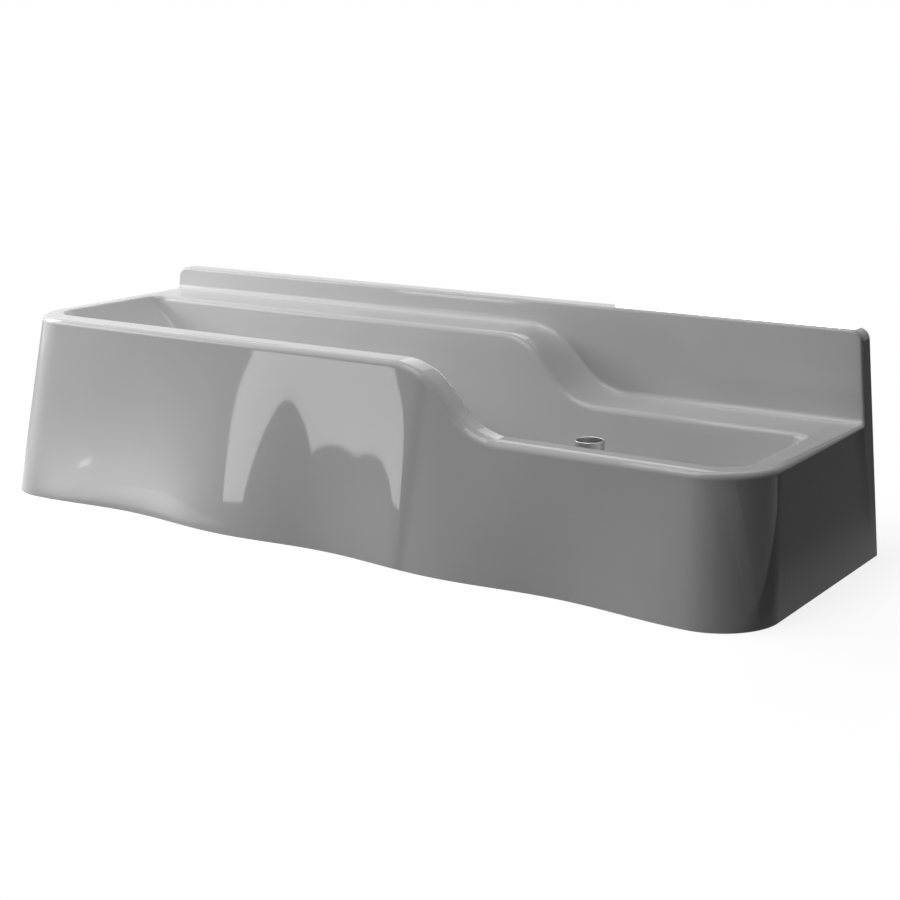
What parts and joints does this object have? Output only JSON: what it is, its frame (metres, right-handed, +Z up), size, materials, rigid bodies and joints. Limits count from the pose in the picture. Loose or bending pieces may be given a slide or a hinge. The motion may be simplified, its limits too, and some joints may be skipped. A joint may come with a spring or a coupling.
{
  "type": "two-level trough sink",
  "caption": "Wall-hung trough sink with a high and a low basin level under one stepped rim, a straight backsplash, a wavy flared skirt and a lift-out standpipe.",
  "frame": {"origin": "bottom centre of the bounding box, level with the foot of the skirt", "axes": "+X along the wall towards the low end, +Y into the wall, +Z up"},
  "size_m": [1.4, 0.46, 0.34],
  "materials": {
    "trough_body": "gloss",
    "fixing_block_high": "matte",
    "fixing_block_low": "matte",
    "threaded_inserts": "satin",
    "bracket_high": "satin",
    "bracket_low": "satin",
    "arm_pads": "matte",
    "arm_washers": "satin",
    "arm_bolts": "satin",
    "waste_flange": "polished",
    "waste_gasket": "matte",
    "lower_seal": "matte",
    "slip_washer": "satin",
    "waste_nut": "satin",
    "standpipe_tube": "satin",
    "standpipe_foot": "satin",
    "standpipe_seal": "matte"
  },
  "bodies": {
    "trough": {"trough_body": "trough_body", "fixing_block_high": "fixing_block_high", "fixing_block_low": "fixing_block_low", "threaded_inserts": "threaded_inserts", "bracket_high": "bracket_high", "bracket_low": "bracket_low", "arm_pads": "arm_pads", "arm_washers": "arm_washers", "arm_bolts": "arm_bolts", "waste_flange": "waste_flange", "waste_gasket": "waste_gasket", "lower_seal": "lower_seal", "slip_washer": "slip_washer", "waste_nut": "waste_nut"},
    "standpipe": {"standpipe_tube": "standpipe_tube", "standpipe_foot": "standpipe_foot", "standpipe_seal": "standpipe_seal"}
  },
  "joints": [
    {"name": "standpipe_lift", "type": "slide", "parent": "trough", "child": "standpipe", "axis": [0, 0, 1], "range_m": [0, 0.12]}
  ]
}
